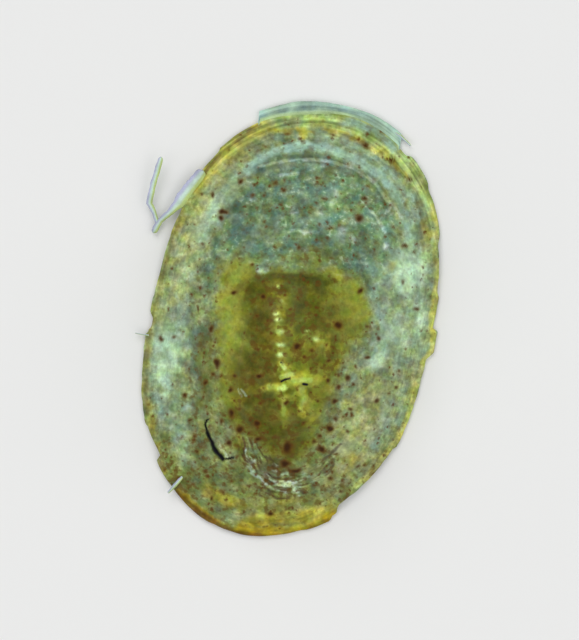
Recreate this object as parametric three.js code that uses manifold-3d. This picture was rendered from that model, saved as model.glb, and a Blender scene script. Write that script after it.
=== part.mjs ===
// A freshwater limpet shell: a thin, oval, one-piece cap with its blunt apex behind the middle and a little
// to the right. Growth rings spread from the apex to the rim. The newest growth is a clear, brittle lip: it
// is whole at the front, and elsewhere it has broken away and left flanges, a torn strip and a few slivers.
// Millimetres, +Z up, +Y the shell's front, +X its right. The rim stands on the plane z = 0.

import * as THREE from "three";
import { mergeVertices } from "three/addons/utils/BufferGeometryUtils.js";
import Module from "manifold-3d";

// Driving dimensions of the cap. The outline is an ellipse, swollen a little in three and four lobes, and
// a lobe's share is of the ellipse's radius.
const HALF_LENGTH = 1.81;
const HALF_WIDTH = 1.167;
const HEIGHT = 1.15;
const APEX = new THREE.Vector2(0.1, -0.46);
const OUTLINE_LOBES = [
  { count: 3, cosine: 0.004, sine: 0.0115 },
  { count: 4, cosine: -0.025, sine: -0.0075 },
];

// Thickness of the wall under the apex and of the rim's edge, and width of the rim's flat underside.
const WALL = 0.075;
const EDGE = 0.035;
const UNDERSIDE = 0.06;

// The slope falls from the apex as a power of age, fuller in front than behind, and flares at the rim.
const FRONT_POWER = 1.75;
const REAR_POWER = 1.2;
const FLARE_POWER = 1.12;

// Growth rings, as ages from 0 at the apex to 1 at the rim, and the low ridge that each one leaves.
const RINGS = [0.34, 0.47, 0.58, 0.67, 0.75, 0.82, 0.885, 0.945];
const RING_HEIGHT = 0.009;
const RING_SPREAD = 0.022;

// Where the rim's edge leaves the outline: bearings in degrees from the shell's right towards its front,
// the reach outwards at each of the two, and the bearing over which each end steps back to the outline.
const RIM_BREAKS = [
  { name: "right flange", from: -1.8, to: 9, reach: [0.052, 0.045], step: 3 },
  { name: "right set-back", from: 23, to: 41.5, reach: [-0.022, -0.032], step: 3 },
  { name: "frayed front right", from: 43, to: 57, reach: [0.004, 0.012], step: 2 },
  { name: "flange by the lip", from: 57, to: 67, reach: [0.034, 0.036], step: 2 },
  { name: "clear lip, right half", from: 71, to: 90, reach: [0.102, 0.07], step: 0.8 },
  { name: "clear lip, left half", from: 90, to: 111.5, reach: [0.07, 0.092], step: 0.8 },
  { name: "left of the lip", from: 112, to: 124, reach: [0.008, -0.004], step: 1 },
  { name: "under the torn strip", from: 125, to: 148, reach: [-0.018, -0.058], step: 1 },
  { name: "behind the torn strip", from: 148, to: 178, reach: [-0.058, -0.006], step: 1 },
  { name: "left flange", from: 182, to: 189, reach: [0.012, 0.014], step: 2 },
  { name: "left notch", from: 190, to: 195, reach: [-0.016, -0.016], step: 1.5 },
  { name: "left swelling", from: 197, to: 227, reach: [0.02, 0.003], step: 1.5 },
  { name: "rear left chip", from: 228, to: 238, reach: [-0.016, -0.05], step: 1 },
  { name: "worn rear", from: 243, to: 283, reach: [-0.008, -0.01], step: 6 },
  { name: "rear corner", from: 286, to: 294, reach: [0.006, 0.028], step: 1.5 },
  { name: "broken rear right", from: 296.5, to: 322, reach: [-0.05, -0.02], step: 1.5 },
];

// Shreds of the torn lip, each a flat ribbon through points chosen along it: x, y, height and width there.
const SHRED_THICKNESS = 0.026;
const SHREDS = {
  tornStrip: [
    [-0.955, 1.055, 0.088, 0.092],
    [-1.005, 0.965, 0.085, 0.104],
    [-1.07, 0.847, 0.078, 0.106],
    [-1.141, 0.7, 0.062, 0.092],
    [-1.212, 0.588, 0.042, 0.068],
    [-1.255, 0.474, 0.03, 0.058],
  ],
  tornStripTip: [
    [-1.236, 0.545, 0.03, 0.044],
    [-1.336, 0.7, 0.052, 0.05],
    [-1.332, 0.9, 0.086, 0.05],
    [-1.318, 1.083, 0.112, 0.044],
  ],
  lipSliver: [
    [0.44, 1.716, 0.005, 0.036],
    [0.545, 1.678, 0.01, 0.026],
    [0.648, 1.615, 0.022, 0.014],
  ],
  rearSliver: [
    [-0.575, -1.399, 0.125, 0.024],
    [-0.626, -1.49, 0.085, 0.034],
    [-0.677, -1.581, 0.05, 0.02],
  ],
  leftHair: [
    [-1.07, -0.353, 0.008, 0.018],
    [-1.148, -0.362, 0.02, 0.012],
    [-1.222, -0.364, 0.034, 0.008],
  ],
};

// Fineness of the facets. Ages up to FREE_AGE keep their place, and the rows outside it crowd or spread to
// meet the broken edge.
const COLUMNS = 128;
const APEX_ROWS = [0.045, 0.11, 0.18, 0.26];
const INNER_ROWS = [0.06, 0.16, 0.28, 0.41, 0.54, 0.67, 0.79, 0.9];
const FREE_AGE = 0.84;

const SHELL_COLOUR = 0x8d9c75;

const wasm = await Module();
wasm.setup();

// A point of the whole, unbroken outline.
function outline(bearing) {
  const across = HALF_LENGTH * Math.cos(bearing);
  const along = HALF_WIDTH * Math.sin(bearing);
  let radius = (HALF_LENGTH * HALF_WIDTH) / Math.hypot(across, along);
  let swelling = 1;
  for (const { count, cosine, sine } of OUTLINE_LOBES)
    swelling += cosine * Math.cos(count * bearing) + sine * Math.sin(count * bearing);
  radius *= swelling;
  return new THREE.Vector2(radius * Math.cos(bearing), radius * Math.sin(bearing));
}

// How far the broken edge stands outside the outline, or inside it where negative.
function rimReach(bearing) {
  let reach = 0;
  for (const { from, to, reach: ends, step } of RIM_BREAKS) {
    const past = THREE.MathUtils.euclideanModulo(THREE.MathUtils.radToDeg(bearing) - from + 180, 360) - 180;
    const share = THREE.MathUtils.clamp(past / (to - from), 0, 1);
    const stepIn = THREE.MathUtils.smoothstep(past, -step / 2, step / 2);
    const stepOut = THREE.MathUtils.smoothstep(past - (to - from), -step / 2, step / 2);
    reach += THREE.MathUtils.lerp(ends[0], ends[1], share) * stepIn * (1 - stepOut);
  }
  return reach;
}

// The age at which the shell ends on this bearing: 1 on the outline, more on the lip and less in a chip.
function edgeAge(bearing) {
  return 1 + rimReach(bearing) / outline(bearing).distanceTo(APEX);
}

// A row's age on this bearing, with the outer rows moved to meet the edge.
function rowAge(row, bearing) {
  if (row <= FREE_AGE) return row;
  return THREE.MathUtils.mapLinear(row, FREE_AGE, 1, FREE_AGE, edgeAge(bearing));
}

// Height as a share of the whole, 1 at the apex and 0 from the outline outwards.
function slope(age, bearing) {
  const power = THREE.MathUtils.lerp(REAR_POWER, FRONT_POWER, (1 + Math.sin(bearing)) / 2);
  return Math.max(0, 1 - age ** power) ** FLARE_POWER;
}

// The growth rings' ridges: a low rounded rise at each ring's age.
function ringRise(age) {
  let rise = 0;
  for (const ring of RINGS) rise += RING_HEIGHT * Math.exp(-(((age - ring) / RING_SPREAD) ** 2));
  return rise;
}

function outerPoint(row, bearing) {
  const age = rowAge(row, bearing);
  const plan = APEX.clone().lerp(outline(bearing), age);
  const height = EDGE + (HEIGHT - EDGE) * slope(age, bearing) + ringRise(age);
  return new THREE.Vector3(plan.x, plan.y, height);
}

function innerPoint(row, bearing) {
  const age = rowAge(row, bearing);
  const rim = outline(bearing);
  rim.setLength(rim.length() - UNDERSIDE);
  const plan = APEX.clone().lerp(rim, age);
  return new THREE.Vector3(plan.x, plan.y, (HEIGHT - WALL) * slope(age, bearing));
}

// The bottom of the edge: straight under the outer wall's end, level with the inner wall's.
function edgePoint(bearing) {
  const point = outerPoint(1, bearing);
  return point.setZ(innerPoint(1, bearing).z);
}

// A closed surface through rings of points, drawn in to a single point at either end.
function loft(firstPole, rings, lastPole) {
  const size = rings[0].length;
  const points = [firstPole, ...rings.flat(), lastPole];
  const last = points.length - 1;
  const index = [];
  for (let column = 0; column < size; column++) {
    const next = (column + 1) % size;
    index.push(0, 1 + column, 1 + next);
    for (let ring = 0; ring < rings.length - 1; ring++) {
      const here = 1 + ring * size;
      const after = here + size;
      index.push(here + column, after + column, after + next);
      index.push(here + column, after + next, here + next);
    }
    index.push(last - size + column, last, last - size + next);
  }
  return new THREE.BufferGeometry().setFromPoints(points).setIndex(index);
}

// The cap: outer wall from the apex to the rim, round the edge, and the inner wall back to the apex.
function capGeometry() {
  const bearings = Array.from({ length: COLUMNS }, (_, column) => (column / COLUMNS) * 2 * Math.PI);
  const ringAt = (point, row) => bearings.map((bearing) => point(row, bearing));
  const outerRows = [...APEX_ROWS];
  RINGS.forEach((ring, i) => outerRows.push((ring + (RINGS[i - 1] ?? APEX_ROWS.at(-1))) / 2, ring));
  outerRows.push((1 + RINGS.at(-1)) / 2, 1);
  const rings = [
    ...outerRows.map((row) => ringAt(outerPoint, row)),
    bearings.map(edgePoint),
    ...[...INNER_ROWS, 1].reverse().map((row) => ringAt(innerPoint, row)),
  ];
  return loft(outerPoint(0, 0), rings, innerPoint(0, 0));
}

// A shred: a flat ribbon with square edges, level across, that follows its points.
function shredGeometry(stations) {
  const middles = stations.map(([x, y, z]) => new THREE.Vector3(x, y, z));
  const rings = stations.map(([, , , width], i) => {
    const ahead = middles[Math.min(i + 1, middles.length - 1)];
    const behind = middles[Math.max(i - 1, 0)];
    const along = ahead.clone().sub(behind).setZ(0).normalize();
    const right = new THREE.Vector3(along.y, -along.x, 0).multiplyScalar(width / 2);
    const rise = new THREE.Vector3(0, 0, SHRED_THICKNESS);
    const bottomRight = middles[i].clone().add(right);
    const bottomLeft = middles[i].clone().sub(right);
    return [bottomRight, bottomRight.clone().add(rise), bottomLeft.clone().add(rise), bottomLeft];
  });
  const halfway = new THREE.Vector3(0, 0, SHRED_THICKNESS / 2);
  return loft(middles[0].clone().add(halfway), rings, middles.at(-1).clone().add(halfway));
}

function toSolid(geometry) {
  const merged = mergeVertices(geometry);
  const mesh = new wasm.Mesh({
    numProp: 3,
    vertProperties: new Float32Array(merged.attributes.position.array),
    triVerts: new Uint32Array(merged.index.array),
  });
  return new wasm.Manifold(mesh);
}

function toGeometry(solid) {
  const { vertProperties, triVerts } = solid.getMesh();
  const geometry = new THREE.BufferGeometry();
  geometry.setAttribute("position", new THREE.BufferAttribute(vertProperties, 3));
  geometry.setIndex(new THREE.BufferAttribute(triVerts, 1));
  geometry.computeVertexNormals();
  return geometry;
}

// The shell is one grown piece, so its shreds are joined to the cap.
function shellGeometry() {
  let shell = toSolid(capGeometry());
  for (const stations of Object.values(SHREDS)) shell = shell.add(toSolid(shredGeometry(stations)));
  return toGeometry(shell);
}

const shell = new THREE.Mesh(
  shellGeometry(),
  new THREE.MeshStandardMaterial({ color: SHELL_COLOUR, roughness: 0.42, metalness: 0 }),
);
shell.name = "shell";

// The part's origin is the middle of its box, on the plane that the rim stands on.
const box = new THREE.Box3().setFromObject(shell);
const middle = box.getCenter(new THREE.Vector3());
shell.position.set(-middle.x, -middle.y, -box.min.z);

const limpet = new THREE.Group();
limpet.name = "limpet_shell";
limpet.add(shell);

export default limpet;
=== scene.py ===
# %% [markdown]
# # A freshwater limpet shell
# The real object is a thin oval cap a few millimetres long, grown as one piece. It is seen from straight
# above, lying on its rim. This lesson makes its surface from one formula on a grid, marks that surface with
# zones, strokes and spots, and lets shader nodes turn those masks into colour, gloss and fine relief.

import math

import bpy
import numpy as np
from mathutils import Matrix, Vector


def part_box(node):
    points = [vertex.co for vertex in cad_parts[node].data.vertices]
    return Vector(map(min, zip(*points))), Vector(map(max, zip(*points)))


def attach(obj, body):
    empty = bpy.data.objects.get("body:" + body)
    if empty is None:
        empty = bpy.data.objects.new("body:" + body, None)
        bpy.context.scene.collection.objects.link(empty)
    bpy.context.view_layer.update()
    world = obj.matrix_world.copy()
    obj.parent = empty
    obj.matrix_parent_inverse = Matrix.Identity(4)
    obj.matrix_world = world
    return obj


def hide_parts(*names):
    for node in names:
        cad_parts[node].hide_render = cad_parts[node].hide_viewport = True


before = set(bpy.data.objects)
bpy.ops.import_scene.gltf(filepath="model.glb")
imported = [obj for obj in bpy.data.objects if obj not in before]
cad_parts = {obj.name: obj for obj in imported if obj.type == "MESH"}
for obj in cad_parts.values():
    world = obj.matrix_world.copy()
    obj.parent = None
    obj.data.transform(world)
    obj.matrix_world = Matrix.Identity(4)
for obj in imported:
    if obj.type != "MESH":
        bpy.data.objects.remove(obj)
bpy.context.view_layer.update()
MM = 0.001

# %% [markdown]
# ## From the photograph to the shell
# A mark is easiest to place where it was seen, so marks are given in the photograph's pixels. The shell's
# length leans a little to the right there. Turning by that lean and scaling gives its own frame in
# millimetres: x to the shell's right, y to its front, both from the middle of its outline.

# %% Photograph to shell
PHOTO_WIDTH = 579
PHOTO_HEIGHT = 640
MM_PER_PIXEL = 0.008167
LEAN = math.radians(12.5)
OUTLINE_MIDDLE = (290.8, 321.9)


def to_photo(x, y):
    """Pixel of a point in mm: turn by the lean, divide by the scale, count rows downwards."""
    across = (x * math.cos(LEAN) + y * math.sin(LEAN)) / MM_PER_PIXEL
    down = (x * math.sin(LEAN) - y * math.cos(LEAN)) / MM_PER_PIXEL
    return OUTLINE_MIDDLE[0] + across, OUTLINE_MIDDLE[1] + down


def from_photo(column, row):
    """Point in mm of a pixel: the same turn and scale the other way."""
    across = (column - OUTLINE_MIDDLE[0]) * MM_PER_PIXEL
    down = (row - OUTLINE_MIDDLE[1]) * MM_PER_PIXEL
    x = across * math.cos(LEAN) + down * math.sin(LEAN)
    y = across * math.sin(LEAN) - down * math.cos(LEAN)
    return x, y


print("photograph's middle in mm:", from_photo(PHOTO_WIDTH / 2, PHOTO_HEIGHT / 2))

# %% [markdown]
# ## The outline and its breaks
# The whole rim would be an ellipse that swells a little in three and four lobes. The newest growth is
# brittle, so the real edge leaves that outline: it stands out as a clear lip at the front and as small
# flanges, and it is set back in chips. Each break is a range of bearings with a reach at either end.

# %% Outline and broken edge
HALF_LENGTH = 1.81
HALF_WIDTH = 1.167
OUTLINE_LOBES = ((3, 0.004, 0.0115), (4, -0.025, -0.0075))

# Bearing from and to in degrees from the shell's right towards its front, reach outwards in mm at each,
# and the bearing over which each end steps back to the outline.
RIM_BREAKS = (
    (-1.8, 9, 0.052, 0.045, 3),
    (23, 41.5, -0.022, -0.032, 3),
    (43, 57, 0.004, 0.012, 2),
    (57, 67, 0.034, 0.036, 2),
    (71, 90, 0.102, 0.07, 0.8),
    (90, 111.5, 0.07, 0.092, 0.8),
    (112, 124, 0.008, -0.004, 1),
    (125, 148, -0.018, -0.058, 1),
    (148, 178, -0.058, -0.006, 1),
    (182, 189, 0.012, 0.014, 2),
    (190, 195, -0.016, -0.016, 1.5),
    (197, 227, 0.02, 0.003, 1.5),
    (228, 238, -0.016, -0.05, 1),
    (243, 283, -0.008, -0.01, 6),
    (286, 294, 0.006, 0.028, 1.5),
    (296.5, 322, -0.05, -0.02, 1.5),
)


def fade(values, low, high):
    """Smooth step: 0 below low, 1 above high, and 3s² − 2s³ of the share s between."""
    share = np.clip((values - low) / (high - low), 0, 1)
    return share * share * (3 - 2 * share)


def outline(bearing):
    """Ellipse radius at a bearing, times one plus a small cosine and sine for each set of lobes."""
    sides = (HALF_LENGTH * np.cos(bearing), HALF_WIDTH * np.sin(bearing))
    radius = HALF_LENGTH * HALF_WIDTH / np.hypot(*sides)
    swelling = 1
    for count, cosine, sine in OUTLINE_LOBES:
        swelling = swelling + cosine * np.cos(count * bearing) + sine * np.sin(count * bearing)
    return radius * swelling * np.cos(bearing), radius * swelling * np.sin(bearing)


def rim_reach(bearing):
    """Sum over the breaks of a straight ramp from one reach to the other, faded in and out at its ends."""
    reach = np.zeros_like(bearing)
    for start, end, first, last, step in RIM_BREAKS:
        past = (np.degrees(bearing) - start + 180) % 360 - 180
        ramp = first + (last - first) * np.clip(past / (end - start), 0, 1)
        inside = fade(past, -step / 2, step / 2) - fade(past - (end - start), -step / 2, step / 2)
        reach += ramp * inside
    return reach


round_the_rim = np.linspace(0, 2 * np.pi, 1440)
print("reach of the broken edge in mm:", rim_reach(round_the_rim).min(), rim_reach(round_the_rim).max())

# %% [markdown]
# ## A smooth noise for natural edges
# Nothing on a grown shell is drawn with a ruler. Value noise joins random heights on a lattice with smooth
# steps. It frays the rim, lets the rings wander and makes the edges of the coloured zones ragged.

# %% Smooth noise
def smooth_noise(x, y, seed, period=64):
    """Random heights from −1 to 1 on whole-number points, joined by smooth steps along x and then y."""
    heights = np.random.default_rng(seed).uniform(-1, 1, (period, period))
    column = np.floor(x).astype(int)
    row = np.floor(y).astype(int)
    right = fade(x - column, 0, 1)
    up = fade(y - row, 0, 1)
    near, far = column % period, (column + 1) % period
    low, high = row % period, (row + 1) % period
    bottom = heights[low, near] * (1 - right) + heights[low, far] * right
    top = heights[high, near] * (1 - right) + heights[high, far] * right
    return bottom * (1 - up) + top * up


print("noise sample:", smooth_noise(np.array([0.5, 7.25]), np.array([0.5, 3.75]), 1))

# %% [markdown]
# ## The cap as a surface of age and bearing
# A limpet grows by adding to its rim, so each point has an age from 0 at the apex to 1 at the rim, and a
# bearing. The plan is a straight line from the apex to the outline, and the height falls as a power of
# age, fuller in front than behind. Past the outline the lip lies flat.

# %% Cap form
HEIGHT = 1.15
APEX = (0.1, -0.46)
WALL = 0.075
EDGE = 0.035
UNDERSIDE = 0.06
FRONT_POWER = 1.75
REAR_POWER = 1.2
FLARE_POWER = 1.12
FREE_AGE = 0.84
LIP_AGE = 1.006
LIP_DIP = 0.018
LIP_MIDDLE = 98
LIP_SPREAD = 9.5
LIP_SHARE = 0.95
LEAST_LIP = 0.01
COLUMNS = 512
OUTER_ROWS = 160
INNER_ROWS = 14
FRAY = 0.0035

bearing = np.linspace(0, 2 * np.pi, COLUMNS, endpoint=False)
turn = bearing / (2 * np.pi)
fray = FRAY * (0.5 * smooth_noise(turn * 256, 0 * turn, 3, 256) + smooth_noise(turn * 96, 0 * turn, 4, 96))


def edge_age(bearing, fray):
    """One plus the reach of the broken edge, as a share of the way from the apex to the outline."""
    x, y = outline(bearing)
    return 1 + (rim_reach(bearing) + fray) / np.hypot(x - APEX[0], y - APEX[1])


def lip_age(bearing):
    """Age at the inside of the clear lip: even, less a rounded dip about the front."""
    past_middle = (np.degrees(bearing) - LIP_MIDDLE) / LIP_SPREAD
    return LIP_AGE - LIP_DIP * np.exp(-(past_middle**2))


def row_ages(rows):
    """Ages of the rows: even up to FREE_AGE, then stretched to the lip, then to the broken edge."""
    share = np.linspace(0, 1, rows + 1)[1:, None]
    edge = edge_age(bearing, fray)
    lip = np.minimum(lip_age(bearing), edge - LEAST_LIP)
    to_lip = FREE_AGE + (share - FREE_AGE) / (LIP_SHARE - FREE_AGE) * (lip - FREE_AGE)
    to_edge = lip + (share - LIP_SHARE) / (1 - LIP_SHARE) * (edge - lip)
    return np.where(share <= FREE_AGE, share, np.where(share <= LIP_SHARE, to_lip, to_edge))


def slope(age):
    """One minus age to a power that grows from rear to front, flared, and 0 past the outline."""
    power = REAR_POWER + (FRONT_POWER - REAR_POWER) * (1 + np.sin(bearing)) / 2
    return np.maximum(0, 1 - age**power) ** FLARE_POWER


def plan(age, inset):
    """The line from the apex to the outline, moved in by inset, at a share of age."""
    x, y = outline(bearing)
    shrink = 1 - inset / np.hypot(x, y)
    return APEX[0] + (x * shrink - APEX[0]) * age, APEX[1] + (y * shrink - APEX[1]) * age


outer_age = row_ages(OUTER_ROWS)
outer_x, outer_y = plan(outer_age, 0)
outer_z = EDGE + (HEIGHT - EDGE) * slope(outer_age)
inner_age = row_ages(INNER_ROWS)
inner_x, inner_y = plan(inner_age, UNDERSIDE)
inner_z = (HEIGHT - WALL) * slope(inner_age)
print("outer grid:", outer_z.shape, "inner grid:", inner_z.shape)

# %% [markdown]
# ## Marks: blots, strokes and zones
# Three soft shapes are enough for every marking. A blot is an ellipse, a stroke is a line with a width and
# a zone is an area inside a few corners. Each gives 1 inside, 0 outside and a soft edge, for all the points
# of the surface at once. The points are moved about by a little noise first, so no edge comes out clean.

# %% Mark shapes
WANDER = 2.2
WANDER_LENGTH = 9
FINE_WANDER_LENGTH = 4
FINE_WANDER_SHARE = 0.6
SHALLOWEST = 0.42
DEEPER_PER_PIXEL = 0.085
SPOT_CORE = 0.2
SPOT_EDGE = 1.45


def strongest(*masks):
    """The largest of the masks at each point."""
    return np.maximum.reduce(masks)


def away_from(column, row, start, end):
    """Distance to a straight piece of line: to the point a share of the way along it, from 0 to 1."""
    (x0, y0), (x1, y1) = start, end
    share = ((column - x0) * (x1 - x0) + (row - y0) * (y1 - y0)) / ((x1 - x0) ** 2 + (y1 - y0) ** 2)
    share = np.clip(share, 0, 1)
    return np.hypot(column - x0 - share * (x1 - x0), row - y0 - share * (y1 - y0))


class Sheet:
    """The photograph's pixels under a grid of points, and the marks that can be laid on them."""

    def __init__(self, x, y):
        """Pixels of the points, and the same pixels moved by noise of up to WANDER pixels at two scales."""
        self.column, self.row = to_photo(x, y)
        self.ragged_column = self.column + WANDER * self.drift(11)
        self.ragged_row = self.row + WANDER * self.drift(13)

    def drift(self, seed):
        """Noise over WANDER_LENGTH pixels plus a share of finer noise."""
        coarse = smooth_noise(self.column / WANDER_LENGTH, self.row / WANDER_LENGTH, seed)
        fine = smooth_noise(self.column / FINE_WANDER_LENGTH, self.row / FINE_WANDER_LENGTH, seed + 1)
        return coarse + FINE_WANDER_SHARE * fine

    def moved(self, ragged):
        """Pixels moved by a share of the noise."""
        column = self.column + ragged * (self.ragged_column - self.column)
        row = self.row + ragged * (self.ragged_row - self.row)
        return column, row

    def blot(self, column, row, wide, high, lean=0, soft=0.7):
        """Distance in units of the two radii, turned by lean degrees, faded about 1."""
        right = self.ragged_column - column
        down = self.ragged_row - row
        lean = math.radians(lean)
        along = (right * math.cos(lean) + down * math.sin(lean)) / wide
        across = (down * math.cos(lean) - right * math.sin(lean)) / high
        return 1 - fade(np.hypot(along, across), 1 - soft, 1 + soft)

    def spots(self, marks, ragged=0.5):
        """The strongest of several small blots, each the deeper the larger it is."""
        moved_column, moved_row = self.moved(ragged)
        deepest = np.zeros_like(self.column)
        for column, row, wide, high in marks:
            distance = np.hypot((moved_column - column) / wide, (moved_row - row) / high)
            depth = min(1, SHALLOWEST + (wide + high) * DEEPER_PER_PIXEL)
            deepest = np.maximum(deepest, depth * (1 - fade(distance, SPOT_CORE, SPOT_EDGE)))
        return deepest

    def stroke(self, points, width, ragged=1.0):
        """Distance to the nearest piece of a line through the points, faded out about half the width."""
        column, row = self.moved(ragged)
        nearest = np.minimum.reduce([away_from(column, row, *ends) for ends in zip(points, points[1:])])
        return 1 - fade(nearest, 0.25 * width, 0.75 * width)

    def zone(self, corners, soft, ragged=1.0):
        """Inside where a line to the right crosses the sides an odd number of times, with a soft edge."""
        column, row = self.moved(ragged)
        sides = list(zip(corners, corners[1:] + corners[:1]))
        inside = np.zeros(column.shape, bool)
        for (x0, y0), (x1, y1) in sides:
            crosses = (y0 > row) != (y1 > row)
            inside ^= crosses & (column < (x1 - x0) * (row - y0) / ((y1 - y0) or 1e-9) + x0)
        nearest = np.minimum.reduce([away_from(column, row, *side) for side in sides])
        return fade(np.where(inside, nearest, -nearest), -soft, soft)


outer_sheet = Sheet(outer_x, outer_y)
print("pixels covered:", outer_sheet.column.min(), outer_sheet.column.max())

# %% [markdown]
# ## Relief on the outer wall
# Growth leaves low rings and finer lines between them. Behind the apex the wall is wrinkled in a U, and a
# short crack opens at the left. Just ahead of the apex small ripples cross the crest, which catch the light
# one after another. All of it is height added to the outer grid, because real relief also shades from the
# side.

# %% Growth rings and lines
RINGS = (0.34, 0.47, 0.58, 0.67, 0.75, 0.82, 0.885, 0.945)
RING_HEIGHT = 0.009
RING_SPREAD = 0.022
LINE_HEIGHT = 0.0022
LINES = 46


def ring_rise(age):
    """A rounded rise at each ring's age, after the age has wandered a little along the bearing."""
    wander = 0.006 * smooth_noise(turn * 16, age * 7, 21, 16)
    rise = np.zeros_like(age)
    for ring in RINGS:
        rise += RING_HEIGHT * np.exp(-(((age + wander - ring) / RING_SPREAD) ** 2))
    return rise


def line_rise(age):
    """A wave along the age with an uneven beat, stronger near the rim and broken up along the bearing."""
    wander = 0.35 * smooth_noise(turn * 32, age * 5, 22, 32) + 1.3 * smooth_noise(age * 19, 0 * age, 23)
    broken = 0.7 + 0.3 * smooth_noise(turn * 32, age * 30, 24, 32)
    strength = (0.35 + 0.65 * fade(age, 0.5, 0.95)) * broken
    return LINE_HEIGHT * strength * np.sin(2 * np.pi * (LINES * age + wander))


outer_z = outer_z + ring_rise(outer_age) + line_rise(outer_age)
print("highest point in mm with its rings:", outer_z.max())

# %% Wrinkles, crack and crest
# Distances from the U's middle in pixels, and swings from straight down in degrees, between which the
# wrinkles fade in and out.
WRINKLE_MIDDLE = (291, 434)
WRINKLE_INSIDE = (33, 40)
WRINKLE_OUTSIDE = (50, 57)
WRINKLE_SWING = (62, 84)
WRINKLE_LEAN = 8
WRINKLE_HEIGHT = 0.007
CRACK = [
    (209, 418), (207, 424), (209, 431), (211, 439), (215, 447), (220, 453), (223.5, 458), (228, 457.5),
    (234, 456.3),
]
# First point, end and width of each stretch of the crack, one over the other.
CRACK_WIDTHS = ((0, 9, 2.1), (2, 7, 3.6), (4, 7, 4.8))
CRACK_DEPTH = 0.03
CRACK_EDGE_HEIGHT = 0.006
CREST = [(281, 283), (281.5, 300), (280.5, 325), (281, 345), (283, 365), (288, 379)]
CREST_WIDTH = 16
RIPPLE_HEIGHT = 0.006
RIPPLE_LENGTH = 10.6


def wrinkles(sheet):
    """Streaks of noise in a band that hangs below the U's middle: (band, wave).

    The band lies between two distances from the middle and within a swing to either side. The wave
    is noise that is long round the middle and short across it.
    """
    right = sheet.column - WRINKLE_MIDDLE[0]
    down = sheet.row - WRINKLE_MIDDLE[1]
    distance = np.hypot(right, down * 0.97) + 2.5 * smooth_noise(sheet.column / 13, sheet.row / 13, 25)
    swing = np.degrees(np.arctan2(right, down))
    band = fade(distance, *WRINKLE_INSIDE) * (1 - fade(distance, *WRINKLE_OUTSIDE))
    band *= 1 - fade(np.abs(swing + WRINKLE_LEAN), *WRINKLE_SWING)
    wave = smooth_noise(swing / 13 + 40, distance / 2.0, 26)
    wave = wave + 0.8 * smooth_noise(swing / 6 + 40, distance / 1.3, 27)
    return band, wave


def crack(sheet):
    """Mask of the crack's line, widest in its middle, and of the raised edge just inside that."""
    line = strongest(*(sheet.stroke(CRACK[first:end], width, 0.4) for first, end, width in CRACK_WIDTHS))
    inner_edge = sheet.stroke([(column + 4.5, row - 3) for column, row in CRACK[4:7]], 3.0, 0.6)
    return line, inner_edge * (1 - line)


wrinkle_band, wrinkle_wave = wrinkles(outer_sheet)
crack_line, crack_edge = crack(outer_sheet)
ripple_turns = (outer_sheet.row - CREST[0][1]) / RIPPLE_LENGTH
crest_ripple = np.cos(2 * np.pi * ripple_turns) * outer_sheet.stroke(CREST, CREST_WIDTH)
outer_z = outer_z + WRINKLE_HEIGHT * wrinkle_band * wrinkle_wave
outer_z = outer_z - CRACK_DEPTH * crack_line + CRACK_EDGE_HEIGHT * crack_edge
outer_z = outer_z + RIPPLE_HEIGHT * crest_ripple
print("highest point in mm with its ripples:", outer_z.max())

# %% [markdown]
# ## Zones of colour
# The wall is thin, so its colour changes with what grew or shows there: a dark speckled field in front,
# pale bluish flanks, a tan side behind, a yellow front band, amber along the rim and an olive middle. Each
# is a mask here, mostly the strongest of some blots and strokes. The material gives each mask its colour,
# so a colour can be tuned without touching a shape.

# %% Laying marks
# Share, column, row and two radii of each blot, and its lean in degrees and softness where they differ from
# 0 and 0.7, for each mask.
BLOTS = {}

# Share, points and width of each stroke, and how ragged it is where that differs from 1, for each mask.
STROKES = {}


def laid(sheet, name):
    """The strongest of a mask's blots and strokes, each times its own share."""
    blots = [share * sheet.blot(*shape) for share, *shape in BLOTS.get(name, ())]
    strokes = [share * sheet.stroke(*shape) for share, *shape in STROKES.get(name, ())]
    return strongest(*blots, *strokes)


def laid_all(sheet, kind):
    """The laid mask of every name that starts with the kind."""
    return {name: laid(sheet, name) for name in sorted({*BLOTS, *STROKES}) if name.startswith(kind)}


def count_marks(kind):
    """How many blots and strokes are listed for the names that start with the kind."""
    return sum(len(table[name]) for table in (BLOTS, STROKES) for name in table if name.startswith(kind))


print("blots and strokes so far:", count_marks("zone"))

# %% Olive middle
OLIVE_CORNERS = [
    (222, 268), (234, 258), (252, 260), (264, 271), (282, 269), (330, 268), (350, 275), (364, 287),
    (371, 303), (370, 320), (362, 337), (350, 349), (344, 366), (331, 391), (324, 415), (316, 440),
    (303, 459), (286, 470), (268, 457), (254, 440), (236, 427), (221, 410), (216, 384), (218, 340),
    (218, 302),
]
OLIVE_SIDE = [(207, 342), (206, 366), (213, 386), (206, 402)]
BLOTS["zone_olive"] = ((0.75, 308, 259, 30, 8), (0.85, 241, 442, 9, 10))
STROKES["zone_olive"] = ((0.55, OLIVE_SIDE, 18),)
BLOTS["zone_olive_dark"] = (
    (0.85, 261, 322, 17, 44, 0, 0.5), (0.8, 306, 303, 34, 30, 0, 0.5), (1, 295, 290, 24, 10, 0, 0.6),
    (0.9, 256, 368, 24, 24, 0, 0.5), (0.75, 276, 430, 34, 32, 0, 0.5), (0.85, 241, 442, 9, 10, 0, 0.5),
    (0.9, 276, 459, 13, 9, 25), (0.6, 321, 343, 18, 24, 0, 0.5), (0.8, 289, 389, 7, 5, 0, 0.5),
    (0.95, 259, 406, 24, 20, 0, 0.5), (1, 299, 301, 12, 13), (0.95, 300, 325, 8, 10),
    (0.65, 310, 431, 9, 9),
)
STROKES["zone_olive_dark"] = (
    (1, [(250, 293), (258, 282), (271, 277), (300, 279), (326, 283)], 9, 0.6),
    (0.7, [(256, 286), (270, 279), (300, 281), (330, 286)], 18), (0.9, OLIVE_SIDE, 20),
)
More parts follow.
